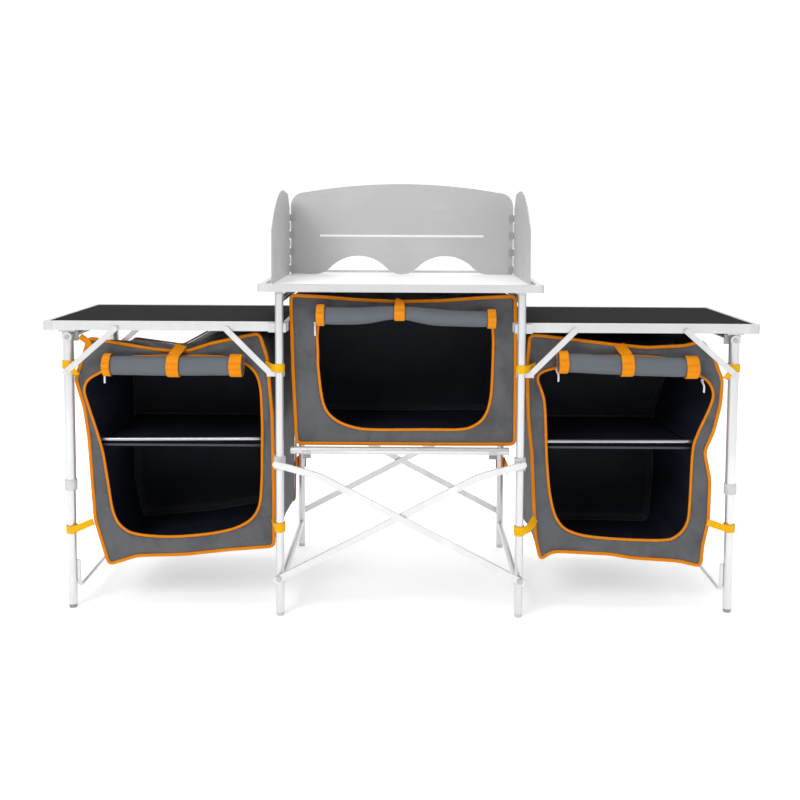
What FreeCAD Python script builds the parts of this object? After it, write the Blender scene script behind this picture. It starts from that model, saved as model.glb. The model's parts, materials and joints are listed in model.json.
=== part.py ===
"""Camp kitchen: a folding aluminium cooking stand with a three-panel wind shield,
a side table hooked on to each side of it, and a fabric cupboard under each top.

Millimetres, +Z up, +X to the right, -Y to the front. The origin is on the floor in
the middle of the footprint. Lengths written with a side factor are mirrored:
-1 is the left half and +1 is the right half.
"""
import FreeCAD, Part
import math
import os

import Sketcher

Vector = FreeCAD.Vector
Rotation = FreeCAD.Rotation

doc = FreeCAD.newDocument("camp_kitchen")
sheet = doc.addObject("Spreadsheet::Sheet", "Sizes")

SIZES = {
    # cooking stand
    "leg_x": 290, "leg_y": 240, "leg_dia": 20, "tube_wall": 1.5,
    "foot_dia": 19, "foot_height": 36, "foot_tip": 9,
    "leg_top": 786, "leg_cap_top": 792.7, "seat_play": 0.1, "pin_play": 0.3,
    "side_bar_dia": 16, "low_bar_z": 70, "high_bar_z": 770,
    # cooking top
    "top_x": 340, "top_y": 262, "top_base_z": 793, "top_panel_depth": 12,
    "panel_skin": 1,
    "top_rail_width": 14, "top_rail_height": 18, "top_cap_size": 22,
    # crossed braces
    "brace_low_z": 97, "brace_high_z": 378, "brace_width": 16, "brace_depth": 5,
    "brace_bend_x": 190, "brace_bend_z": 350, "brace_bend_radius": 120, "brace_overrun": 14,
    "brace_near_y": 257.2, "brace_far_y": 262.8, "pivot_dia": 7, "pivot_head_dia": 14,
    "pivot_head": 2.4, "slider_height": 30, "slider_wall": 3.7, "slider_play": 0.3,
    "mouth_start": 7, "mouth_depth": 20, "mouth_width": 40, "boss_gap": 0.5, "face_gap": 0.2,
    # wind shield
    "shield_y": 180, "shield_half_width": 312, "shield_sheet": 2, "shield_base_z": 805.3,
    "shield_peak_z": 1058, "shield_shoulder_z": 1034, "shield_notch_z": 996,
    "shield_corner": 40, "shield_hinge_x": 316, "shield_hinge_y": 173, "knuckle_dia": 7, "hinge_pin_dia": 3,
    "wing_front_y": 182, "wing_peak_z": 1031, "wing_front_z": 940, "wing_gap": 6,
    "wing_peak_back": 62, "wing_bulge_y": 92, "wing_bulge_drop": 24, "wing_turn_y": 14,
    "wing_turn_drop": 13, "knuckle_start": 4.8, "knuckle_pitch": 23.8, "knuckle_length": 19,
    "knuckle_tab": 8, "lug_reach": 15, "lug_play": 0.1, "pin_end": 1,
    "arch_x": 122, "arch_width": 240, "arch_height": 51, "arch_flare": 58, "bead_z": 912,
    "bead_half": 229, "bead_dia": 6,
    # side tables
    "table_in": 272, "table_out": 866, "table_front_y": -222, "table_rear_y": 182,
    "table_top_z": 716, "rail_height": 22, "rail_width": 12, "board_depth": 11,
    "board_drop": 1.5, "table_cap_size": 26,
    "hook_in": 274, "hook_out": 316, "hook_height": 22, "hook_reach": 3, "hook_play": 0.3,
    # telescopic outer legs
    "outer_leg_x": 810, "outer_front_y": -202, "outer_rear_y": 162, "hinge_z": 676,
    "upper_dia": 25, "upper_end_z": 300, "lower_dia": 21.5, "lower_top_z": 490,
    "collar_dia": 30, "collar_low_z": 297, "collar_height": 25,
    "rod_dia": 12, "rod_play": 0.3, "rod_fit": 0.02, "rod_end": 15,
    "bracket_length": 40, "bracket_base_z": 664, "yoke_reach": 5, "yoke_play": 1,
    "cross_bar_dia": 9, "cross_bar_offset": 15.5, "cross_bar_top_z": 120,
    "cross_bar_low_z": 50, "cross_bar_bend": 26, "rivet_inset": 12, "rivet_pin_dia": 6,
    # struts
    "strut_width": 14, "strut_depth": 5, "strut_play": 2, "rivet_dia": 11,
    "outer_strut_low_z": 592, "outer_strut_high_x": 688, "strut_high_z": 699,
    "inner_strut_low_x": 316, "inner_strut_low_z": 595, "inner_strut_high_x": 420,
    "clip_height": 12, "clip_depth": 5.7, "clip_overlap": 11, "clip_end": 6,
    # cupboards
    "cloth": 3, "side_bag_front_y": -194, "side_bag_rear_y": 172,
    "side_shelf_z": 401, "shelf_depth": 6, "shelf_rod_dia": 9,
    "side_roll_in": 383, "side_roll_out": 725, "side_roll_z": 610, "side_roll_dia": 50,
    "shelf_in": 328, "shelf_out": 752, "shelf_gap": 4, "mid_bag_y": 200,
    "mid_roll_x": 215, "mid_roll_z": 733, "mid_roll_dia": 48,
    "bar_dia": 18, "bar_y": 216, "bar_z": 402, "bar_half_length": 266,
    "strap_width": 14, "strap_depth": 2, "strap_play": 0.4, "strap_inset": 12, "roll_gap": 0.5,
    "high_strap_z": 598, "high_strap_height": 20, "low_strap_z": 206, "low_strap_height": 26,
}
for row, (alias, size) in enumerate(SIZES.items(), start=1):
    sheet.set("A%d" % row, alias)
    sheet.set("B%d" % row, str(size))
    sheet.setAlias("B%d" % row, alias)
doc.recompute()

NODES = []
TIP_SHARE = 0.98  # radius of a bar's round end, as a share of half its width
SIDES = (("left", -1), ("right", 1))


def value(alias):
    """The number in a named cell."""
    return float(sheet.get(alias))


def cell(text):
    """An expression on the sheet: every word in it is a cell's name."""
    words, out = "", ""
    for mark in text + " ":
        if mark.isalpha() or mark == "_":
            words += mark
            continue
        if words:
            out += "Sizes." + words
            words = ""
        out += mark
    return out.strip()


def bind(item, **links):
    """Bind properties to expressions on the sheet."""
    for name, text in links.items():
        item.setExpression(name, cell(str(text)))


def place(item, x, y, z):
    """Bind an object's base point to expressions."""
    for axis, text in zip("xyz", (x, y, z)):
        item.setExpression("Placement.Base." + axis, cell(str(text)))


def keep(item, label):
    """Name an object as a node of the finished part."""
    item.Label = label
    NODES.append(item)
    return item


AXES = {
    "X": Rotation(Vector(0, 1, 0), 90),
    "Y": Rotation(Vector(1, 0, 0), -90),
    "Z": Rotation(),
}


def cylinder(name, diameter, length, x, y, z, axis="Z"):
    """A round bar that starts at a point and runs along +axis."""
    bar = doc.addObject("Part::Cylinder", name)
    bar.Placement.Rotation = AXES[axis]
    bind(bar, Radius="(%s) / 2" % diameter, Height=length)
    place(bar, x, y, z)
    return bar


def block(name, length, width, height, x, y, z):
    """A box between x, y, z and that point plus its sizes."""
    box = doc.addObject("Part::Box", name)
    bind(box, Length=length, Width=width, Height=height)
    place(box, x, y, z)
    return box


def cut(name, base, tool):
    """Base minus tool."""
    item = doc.addObject("Part::Cut", name)
    item.Base, item.Tool = base, tool
    return item


def fuse(name, pieces):
    """One solid from touching pieces."""
    item = doc.addObject("Part::MultiFuse", name)
    item.Shapes = pieces
    return item


def group(label, pieces):
    """A node that holds several separate solids."""
    item = doc.addObject("Part::Compound", label)
    item.Links = pieces
    return keep(item, label)


def tube(name, diameter, length, x, y, z, axis="Z"):
    """A round tube with the frame's wall thickness."""
    outer = cylinder(name + "_skin", diameter, length, x, y, z, axis)
    bore = cylinder(name + "_bore", "%s - 2 * tube_wall" % diameter, length, x, y, z, axis)
    return cut(name, outer, bore)


def mirrored_block(name, side, near, far, width, height, y, z):
    """A box whose near and far ends are distances from the middle plane."""
    start = near if side > 0 else "-(%s)" % far
    return block(name, "(%s) - (%s)" % (far, near), width, height, start, y, z)


def origin_plane(body, role):
    """One of a body's own origin planes."""
    return next(item for item in body.Origin.OriginFeatures if item.Role == role)


def plate(name, edges, thickness, role="XZ_Plane"):
    """A flat plate: a closed outline on an origin plane, padded to both sides of it."""
    body = doc.addObject("PartDesign::Body", name)
    sketch = body.newObject("Sketcher::SketchObject", name + "_outline")
    sketch.AttachmentSupport = [(origin_plane(body, role), "")]
    sketch.MapMode = "FlatFace"
    for edge in edges:
        sketch.addGeometry(edge, False)
    pad = body.newObject("PartDesign::Pad", name + "_pad")
    pad.Profile = sketch
    pad.Midplane = True
    bind(pad, Length=thickness)
    sketch.Visibility = False
    return body


def rectangle_plate(name, length, width, thickness):
    """A board centred on its origin, with its length and width bound in the sketch."""
    body = doc.addObject("PartDesign::Body", name)
    sketch = body.newObject("Sketcher::SketchObject", name + "_outline")
    sketch.AttachmentSupport = [(origin_plane(body, "XY_Plane"), "")]
    sketch.MapMode = "FlatFace"
    corners = [Vector(-9, -5, 0), Vector(9, -5, 0), Vector(9, 5, 0), Vector(-9, 5, 0)]
    for first, second in zip(corners, corners[1:] + corners[:1]):
        sketch.addGeometry(Part.LineSegment(first, second), False)
    for line in range(4):
        sketch.addConstraint(Sketcher.Constraint("Coincident", line, 2, (line + 1) % 4, 1))
    for line, kind in enumerate(("Horizontal", "Vertical", "Horizontal", "Vertical")):
        sketch.addConstraint(Sketcher.Constraint(kind, line))
    sketch.addConstraint(Sketcher.Constraint("Symmetric", 0, 1, 2, 1, -1, 1))
    across = sketch.addConstraint(Sketcher.Constraint("DistanceX", 0, 1, 0, 2, 18))
    along = sketch.addConstraint(Sketcher.Constraint("DistanceY", 1, 1, 1, 2, 10))
    sketch.setExpression("Constraints[%d]" % across, cell(length))
    sketch.setExpression("Constraints[%d]" % along, cell(width))
    pad = body.newObject("PartDesign::Pad", name + "_pad")
    pad.Profile = sketch
    bind(pad, Length=thickness)
    return body


def polyline(points):
    """Straight edges through 2-D points, closed."""
    spots = [Vector(x, y, 0) for x, y in points]
    return [Part.LineSegment(a, b) for a, b in zip(spots, spots[1:] + spots[:1])]


def rounded(points, radii):
    """A closed outline of straight edges with an arc at each corner of non-zero radius."""
    spots = [Vector(x, y, 0) for x, y in points]
    starts, ends, arcs = [], [], []
    for index, corner in enumerate(spots):
        before = (spots[index - 1] - corner).normalize()
        after = (spots[(index + 1) % len(spots)] - corner).normalize()
        radius = radii[index]
        if not radius:
            starts.append(corner)
            ends.append(corner)
            arcs.append(None)
            continue
        half = before.getAngle(after) / 2
        reach = radius / math.tan(half)
        middle = (before + after).normalize() * (radius / math.sin(half) - radius)
        starts.append(corner + before * reach)
        ends.append(corner + after * reach)
        arcs.append(Part.Arc(starts[-1], corner + middle, ends[-1]))
    edges = []
    for index, arc in enumerate(arcs):
        if arc:
            edges.append(arc)
        following = starts[(index + 1) % len(spots)]
        if (following - ends[index]).Length > 1e-6:
            edges.append(Part.LineSegment(ends[index], following))
    return edges


def face_xz(edges, y):
    """A face in an XZ plane from edges drawn as x, z pairs."""
    wire = Part.Wire(Part.__sortEdges__([edge.toShape() for edge in edges]))
    wire.rotate(Vector(0, 0, 0), Vector(1, 0, 0), 90)
    wire.translate(Vector(0, y, 0))
    return Part.Face(wire)


def solid_node(label, shape, listed=True):
    """A shape made with Part's own functions from the sheet's sizes."""
    item = doc.addObject("Part::Feature", label)
    item.Shape = shape
    item.Placement = FreeCAD.Placement()
    return keep(item, label) if listed else item


# ---------------------------------------------------------------- cooking stand

def foot(name, tube_dia, x, y):
    """A plastic tip under a tube, with the plug that holds it inside."""
    tip = cylinder(name + "_tip", "foot_dia", "foot_tip", x, y, 0)
    plug = cylinder(name + "_plug", "%s - 2 * tube_wall - seat_play" % tube_dia,
                    "foot_height - foot_tip", x, y, "foot_tip")
    return fuse(name + "_foot", [tip, plug])


def stand_legs(word, side):
    """The front and rear leg of one side, their feet, caps and the two bars between."""
    x = "%d * leg_x" % side
    feet = []
    for place_word, front in (("front", -1), ("rear", 1)):
        y = "%d * leg_y" % front
        name = "%s_%s_leg" % (word, place_word)
        keep(tube(name, "leg_dia", "leg_top - foot_tip", x, y, "foot_tip"), name)
        feet.append(foot(name, "leg_dia", x, y))
        feet.append(cylinder(name + "_cap", "leg_dia", "leg_cap_top - leg_top", x, y, "leg_top"))
    group(word + "_leg_feet", feet)
    start = "-(leg_y - leg_dia / 2)"
    span = "2 * leg_y - leg_dia"
    bars = [tube("%s_%s_bar" % (word, row), "side_bar_dia", span, x, start, row + "_bar_z", "Y")
            for row in ("low", "high")]
    group(word + "_side_bars", bars)


def brace_outline(side):
    """Outline in x, z about the low pivot: straight, then bent flatter to the high end.

    side is the side of the low pivot.
    """
    half = value("brace_width") / 2
    low = Vector(side * value("leg_x"), value("brace_low_z"), 0)
    bend = Vector(-side * value("brace_bend_x"), value("brace_bend_z"), 0)
    high = Vector(-side * value("leg_x"), value("brace_high_z"), 0)
    first = (bend - low).normalize()
    second = (high - bend).normalize()
    over = value("brace_overrun")
    start, end = low - first * over, high + second * over

    def across(direction):
        return Vector(-direction.y, direction.x, 0) * half

    corner = (across(first) + across(second)).normalize()
    corner = corner * (half / corner.dot(across(first).normalize()))
    outline = [start + across(first), bend + corner, end + across(second),
               end - across(second), bend - corner, start - across(first)]
    bend_radius, tip = value("brace_bend_radius"), half * TIP_SHARE
    return rounded([(p.x, p.y) for p in outline], [tip, bend_radius, tip, tip, bend_radius, tip])


def braces(word, side, layer):
    """The front and rear brace whose low pivots are on one side's legs."""
    solids = []
    for place_word, front in (("front", -1), ("rear", 1)):
        name = "%s_brace_%s" % (place_word, word)
        bar = plate(name + "_bar", brace_outline(side), "brace_depth")
        centre = "%d * (brace_%s_y + brace_depth / 2)" % (front, layer)
        place(bar, 0, centre, 0)
        start = "%d * (brace_%s_y + brace_depth / 2) - brace_depth" % (front, layer)
        hole = cylinder(name + "_hole", "pivot_dia + pin_play", "2 * brace_depth",
                        "%d * leg_x" % side, start, "brace_low_z", "Y")
        solids.append(cut(name, bar, hole))
        head_y = ("-(brace_%s_y + brace_depth + pivot_head)" if front < 0
                  else "brace_%s_y + brace_depth") % layer
        solids.append(cylinder(name + "_high_head", "pivot_head_dia", "pivot_head",
                               "%d * leg_x" % -side, head_y, "brace_high_z", "Y"))
    group("braces_" + word, solids)


def brace_pivots(word, side, layer):
    """Low pivots: a spacer on the leg, the pin through the brace and its head."""
    solids = []
    for front in (-1, 1):
        name = "%s_pivot_%s" % (word, "front" if front < 0 else "rear")
        inner = "leg_y + leg_dia / 2"
        outer = "brace_%s_y + brace_depth + face_gap" % layer
        x = "%d * leg_x" % side
        spans = (("spacer", "pivot_head_dia", inner, "brace_%s_y - face_gap" % layer),
                 ("pin", "pivot_dia", inner, outer),
                 ("head", "pivot_head_dia", outer, outer + " + pivot_head"))
        pieces = []
        for part_word, diameter, near, far in spans:
            start = "-(%s)" % far if front < 0 else near
            pieces.append(cylinder("%s_%s" % (name, part_word), diameter,
                                   "(%s) - (%s)" % (far, near), x, start, "brace_low_z", "Y"))
        solids.append(fuse(name, pieces))
    group(word + "_brace_pivots", solids)


def brace_sliders(word, side, layer):
    """Collars that slide on one side's legs, open towards the middle of the stand."""
    solids = []
    for front in (-1, 1):
        name = "%s_slider_%s" % (word, "front" if front < 0 else "rear")
        x, y = "%d * leg_x" % side, "%d * leg_y" % front
        z = "brace_high_z - slider_height / 2"
        skin = cylinder(name + "_skin", "leg_dia + 2 * slider_wall + 2 * slider_play",
                        "slider_height", x, y, z)
        boss_reach = "brace_%s_y - boss_gap - leg_y" % layer
        boss_start = "-(leg_y + %s)" % boss_reach if front < 0 else "leg_y"
        boss = cylinder(name + "_boss", "pivot_head_dia", boss_reach, x, boss_start,
                        "brace_high_z", "Y")
        bore = cylinder(name + "_bore", "leg_dia + 2 * slider_play", "slider_height * 2",
                        x, y, z + " - slider_height / 2")
        mouth_y = "mouth_start - leg_y" if front < 0 else "leg_y - mouth_start - mouth_depth"
        mouth = block(name + "_mouth", "mouth_width", "mouth_depth", "slider_height * 2",
                      x + " - mouth_width / 2", mouth_y, z + " - slider_height / 2")
        body = fuse(name + "_body", [skin, boss])
        solids.append(cut(name, cut(name + "_ring", body, bore), mouth))
    group(word + "_brace_sliders", solids)


# ------------------------------------------------------------------ cooking top

def cooking_top():
    """A hollow sheet-metal panel in a frame of four rails with plastic corners."""
    panel = rectangle_plate("top_panel_block", "2 * (top_x - top_rail_width)",
                            "2 * (top_y - top_rail_width)", "top_panel_depth")
    place(panel, 0, 0, "top_base_z")
    room = block("top_panel_room", "2 * (top_x - top_rail_width - panel_skin)",
                 "2 * (top_y - top_rail_width - panel_skin)", "top_panel_depth - 2 * panel_skin",
                 "-(top_x - top_rail_width - panel_skin)", "-(top_y - top_rail_width - panel_skin)",
                 "top_base_z + panel_skin")
    keep(cut("top_panel", panel, room), "top_panel")
    rails = []
    for front in (-1, 1):
        y = "-top_y" if front < 0 else "top_y - top_rail_width"
        rails.append(block("top_rail_y%d" % (front + 1), "2 * (top_x - top_cap_size)",
                           "top_rail_width", "top_rail_height", "top_cap_size - top_x", y,
                           "top_base_z"))
    for word, side in SIDES:
        rails.append(mirrored_block("top_rail_" + word, side, "top_x - top_rail_width", "top_x",
                                    "2 * (top_y - top_cap_size)", "top_rail_height",
                                    "top_cap_size - top_y", "top_base_z"))
    group("top_rails", rails)
    spots = [(side * value("top_x"), front * value("top_y"), -side, -front)
             for side in (-1, 1) for front in (-1, 1)]
    corner_caps("top_corner_caps", spots, "top_cap_size", "top_rail_width",
                value("top_base_z"), "top_rail_height")


CAP_ROUND = 0.8  # a corner cap's outer radius, as a share of its rail's width


def corner_caps(label, spots, size, rail, base, height):
    """L-shaped corner pieces: each spot is a corner and its two inward directions."""
    arm, width = value(size), value(rail)
    solids = []
    for x, y, inward_x, inward_y in spots:
        ell = [(0, 0), (arm, 0), (arm, width), (width, width), (width, arm), (0, arm)]
        points = [(x + inward_x * across, y + inward_y * along) for across, along in ell]
        edges = [edge.toShape() for edge in rounded(points, [width * CAP_ROUND, 0, 0, 0, 0, 0])]
        face = Part.Face(Part.Wire(Part.__sortEdges__(edges)))
        solid = face.extrude(Vector(0, 0, value(height)))
        solids.append(solid.translated(Vector(0, 0, base)))
    solid_node(label, Part.makeCompound(solids))


# ------------------------------------------------------------------ wind shield

def shield_outline():
    """Back panel in x, z: rounded shoulders, a gently arched top and two base arches."""
    half, base = value("shield_half_width"), value("shield_base_z")
    notch, shoulder = value("shield_notch_z"), value("shield_shoulder_z")
    peak = value("shield_peak_z")
    reach = half - value("shield_corner")
    edges = [Part.Arc(Vector(-reach, shoulder, 0), Vector(0, peak, 0), Vector(reach, shoulder, 0))]
    turn = math.sqrt(0.5)
    for side in (-1, 1):
        corner = Vector(side * reach, shoulder, 0)
        foot = Vector(side * half, notch, 0)
        middle = Vector(side * (reach + (half - reach) * turn),
                        notch + (shoulder - notch) * turn, 0)
        edges.append(Part.Arc(corner, middle, foot))
        edges.append(Part.LineSegment(foot, Vector(side * half, base, 0)))
    edges_of_arches, stops = [], [-half]
    arch_half, rise = value("arch_width") / 2, value("arch_height")
    flare = value("arch_flare")
    crown = (arch_half ** 2 + rise ** 2) / (2 * rise) - flare
    for side in (-1, 1):
        centre = side * value("arch_x")
        top = Vector(centre, base + rise - crown, 0)
        joints = []
        for end in (-1, 1):
            toe = Vector(centre + end * arch_half, base, 0)
            hub = toe + Vector(0, flare, 0)
            toward = (top - hub).normalize()
            joint = hub + toward * flare
            middle = hub + (toward + Vector(0, -1, 0)).normalize() * flare
            edges_of_arches.append(Part.Arc(toe, middle, joint))
            joints.append(joint)
            stops.append(toe.x)
        edges_of_arches.append(Part.Arc(joints[0], top + Vector(0, crown, 0), joints[1]))
    stops.append(half)
    for start, end in zip(stops[::2], stops[1::2]):
        edges.append(Part.LineSegment(Vector(start, base, 0), Vector(end, base, 0)))
    return edges + edges_of_arches


def wing_outline():
    """Wing in y, z: a straight front edge, a long round top and a notch at the hinge."""
    front, base = -value("wing_front_y"), value("shield_base_z")
    back = value("shield_hinge_y") - value("wing_gap")
    peak, low = value("wing_peak_z"), value("wing_front_z")
    start, foot = Vector(front, low, 0), Vector(back, value("shield_notch_z"), 0)
    top = Vector(back - value("wing_peak_back"), peak, 0)
    bulge = Vector(front + value("wing_bulge_y"), peak - value("wing_bulge_drop"), 0)
    shoulder = Vector(back - value("wing_turn_y"), peak - value("wing_turn_drop"), 0)
    corners = [Vector(back, base, 0), Vector(front, base, 0)]
    return [Part.Arc(start, bulge, top), Part.Arc(top, shoulder, foot),
            Part.LineSegment(foot, corners[0]), Part.LineSegment(*corners),
            Part.LineSegment(corners[1], start)]


KNUCKLES = 7


def knuckle_heights():
    """Heights of the hinge knuckles: fixed ones and, between them, the wing's own."""
    first, pitch = value("shield_base_z") + value("knuckle_start"), value("knuckle_pitch")
    heights = [first + pitch * count for count in range(KNUCKLES)]
    return heights[::2], heights[1::2]


def wind_shield():
    """The back panel, its bead, two wings and the hinges between them."""
    back = plate("windshield_back_sheet", shield_outline(), "shield_sheet")
    place(back, 0, "shield_y", 0)
    bead = cylinder("windshield_bead", "bead_dia", "2 * bead_half", "-bead_half",
                    "shield_y - shield_sheet / 2", "bead_z", "X")
    keep(fuse("windshield_back", [back, bead]), "windshield_back")
    fixed, moving = knuckle_heights()
    hinge_parts = []
    for word, side in SIDES:
        x = "%d * shield_hinge_x" % side
        wing = plate("windshield_%s_sheet" % word, wing_outline(), "shield_sheet", "YZ_Plane")
        place(wing, x, 0, 0)
        pieces = [wing]
        bores = []
        for index, low in enumerate(moving):
            name = "wing_%s_knuckle_%d" % (word, index)
            pieces.append(cylinder(name, "knuckle_dia", "knuckle_length", x, "shield_hinge_y",
                                   low))
            pieces.append(mirrored_block(name + "_tab", side, "shield_hinge_x - shield_sheet / 2",
                                         "shield_hinge_x + shield_sheet / 2", "knuckle_tab",
                                         "knuckle_length", "shield_hinge_y - knuckle_tab", low))
            bores.append(cylinder(name + "_bore", "hinge_pin_dia + 2 * pin_play",
                                  "knuckle_length + 2 * pin_end", x, "shield_hinge_y",
                                  low - value("pin_end")))
        wing_body = fuse("windshield_%s_body" % word, pieces)
        keep(cut("windshield_%s_wing" % word, wing_body,
                 fuse("windshield_%s_bores" % word, bores)), "windshield_%s_wing" % word)
        pin = [cylinder("hinge_pin_" + word, "hinge_pin_dia",
                        "shield_notch_z - shield_base_z - 2 * pin_end", x, "shield_hinge_y",
                        "shield_base_z + pin_end")]
        for index, low in enumerate(fixed):
            name = "fixed_knuckle_%s_%d" % (word, index)
            pin.append(cylinder(name, "knuckle_dia", "knuckle_length", x, "shield_hinge_y", low))
            pin.append(mirrored_block(name + "_lug", side, "shield_hinge_x - lug_reach - pin_end",
                                      "shield_hinge_x - pin_end",
                                      "shield_y - shield_hinge_y - 3 / 2 * shield_sheet - lug_play",
                                      "knuckle_length", "shield_hinge_y + shield_sheet", low))
        hinge_parts.append(fuse("hinge_" + word, pin))
    group("windshield_hinges", hinge_parts)


# ------------------------------------------------------------------ side tables

def side_table(word, side):
    """Board, rails, corner caps and the hooks that hold it to the stand's legs."""
    inner_edge = "table_in + rail_width"
    board = rectangle_plate(word + "_table_board", "table_out - table_in - 2 * rail_width",
                            "table_rear_y - table_front_y - 2 * rail_width", "board_depth")
    place(board, "%d * (table_in + table_out) / 2" % side, "(table_front_y + table_rear_y) / 2",
          "table_top_z - board_drop - board_depth")
    keep(board, word + "_table_board")
    rails = []
    base = "table_top_z - rail_height"
    shapes = (("front", "table_in + table_cap_size", "table_out - table_cap_size", "rail_width",
               "table_front_y"),
              ("rear", "table_in + table_cap_size", "table_out - table_cap_size", "rail_width",
               "table_rear_y - rail_width"),
              ("inner", "table_in", inner_edge,
               "table_rear_y - table_front_y - 2 * table_cap_size", "table_front_y + table_cap_size"),
              ("outer", "table_out - rail_width", "table_out",
               "table_rear_y - table_front_y - 2 * table_cap_size", "table_front_y + table_cap_size"))
    for rail_word, near, far, width, y in shapes:
        rails.append(mirrored_block("%s_rail_%s" % (word, rail_word), side, near, far, width,
                                    "rail_height", y, base))
    group(word + "_table_rails", rails)
    spots = []
    for x, inward in ((value("table_in"), 1), (value("table_out"), -1)):
        for y, along in ((value("table_front_y"), 1), (value("table_rear_y"), -1)):
            spots.append((side * x, y, side * inward, along))
    corner_caps(word + "_table_corners", spots, "table_cap_size", "rail_width",
                value("table_top_z") - value("rail_height"), "rail_height")
    hooks = []
    for front, near_y in ((-1, "-table_front_y"), (1, "table_rear_y")):
        name = "%s_hook_%s" % (word, "front" if front < 0 else "rear")
        length = "leg_y + hook_reach - (%s)" % near_y
        y = "-(leg_y + hook_reach)" if front < 0 else near_y
        arm = mirrored_block(name + "_arm", side, "hook_in", "hook_out", length, "hook_height",
                             y, base)
        bore = cylinder(name + "_bore", "leg_dia + 2 * hook_play", "2 * hook_height",
                        "%d * leg_x" % side, "%d * leg_y" % front, base + " - hook_height / 2")
        hooks.append(cut(name, arm, bore))
    group(word + "_table_hooks", hooks)


LEG_ROWS = (("front", "outer_front_y"), ("rear", "outer_rear_y"))


def strut_solid(name, side, low, high, y):
    """A flat bar with round ends between two points given as outward x and z."""
    start = Vector(side * low[0], low[1], 0)
    end = Vector(side * high[0], high[1], 0)
    along = (end - start).normalize()
    half = value("strut_width") / 2
    over = along * half
    across = Vector(-along.y, along.x, 0) * half
    corners = [start - over + across, end + over + across, end + over - across,
               start - over - across]
    edges = rounded([(p.x, p.y) for p in corners], [half * TIP_SHARE] * 4)
    bar = plate(name, edges, "strut_depth")
    place(bar, 0, y, 0)
    return bar


def strut_plane(front):
    """Middle of the strut's thickness, in front of or behind the table's rail."""
    if front < 0:
        return "table_front_y - strut_play - strut_depth / 2"
    return "table_rear_y + strut_play + strut_depth / 2"


def struts(word, side):
    """Fixed struts to the stand's legs, and the outer legs' own pivoting struts."""
    inner, outer = [], []
    for front in (-1, 1):
        tail = "front" if front < 0 else "rear"
        y = strut_plane(front)
        name = "%s_inner_strut_%s" % (word, tail)
        low = (value("inner_strut_low_x"), value("inner_strut_low_z"))
        high = (value("inner_strut_high_x"), value("strut_high_z"))
        leg_face = "leg_dia / 2 + hook_play"
        if front < 0:
            clip_y, clip_width = "-leg_y + " + leg_face, "clip_depth"
        else:
            clip_y = "table_rear_y + strut_play + strut_depth"
            clip_width = "leg_y - (%s) - (%s)" % (leg_face, clip_y)
        clip = mirrored_block(name + "_clip", side, "leg_x - clip_overlap",
                              "inner_strut_low_x + clip_end", clip_width, "clip_height", clip_y,
                              "high_strap_z - 1 - clip_height")
        inner.append(fuse(name, [strut_solid(name + "_bar", side, low, high, y), clip]))
        name = "%s_outer_strut_%s" % (word, tail)
        low = (value("outer_leg_x"), value("outer_strut_low_z"))
        high = (value("outer_strut_high_x"), value("strut_high_z"))
        bar = strut_solid(name + "_bar", side, low, high, y)
        row_y = LEG_ROWS[0 if front < 0 else 1][1]
        leg_face = "%s + %d * (upper_dia / 2 + rod_play)" % (row_y, front)
        strut_back = "%s - %d * strut_depth / 2" % (y, front)
        near_face, far_face = (strut_back, leg_face) if front < 0 else (leg_face, strut_back)
        spacer = cylinder(name + "_spacer", "rivet_dia",
                          "(%s) - (%s)" % (far_face, near_face), "%d * outer_leg_x" % side,
                          near_face, "outer_strut_low_z", "Y")
        head_y = y + (" - strut_depth / 2 - pivot_head" if front < 0 else " + strut_depth / 2")
        heads = [cylinder(name + head, "rivet_dia", "pivot_head", x, head_y, z, "Y")
                 for head, x, z in (("_low_head", "%d * outer_leg_x" % side, "outer_strut_low_z"),
                                    ("_high_head", "%d * outer_strut_high_x" % side,
                                     "strut_high_z"))]
        outer.append(fuse(name, [bar, spacer] + heads))
    group(word + "_inner_struts", inner)
    group(word + "_outer_struts", outer)


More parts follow.
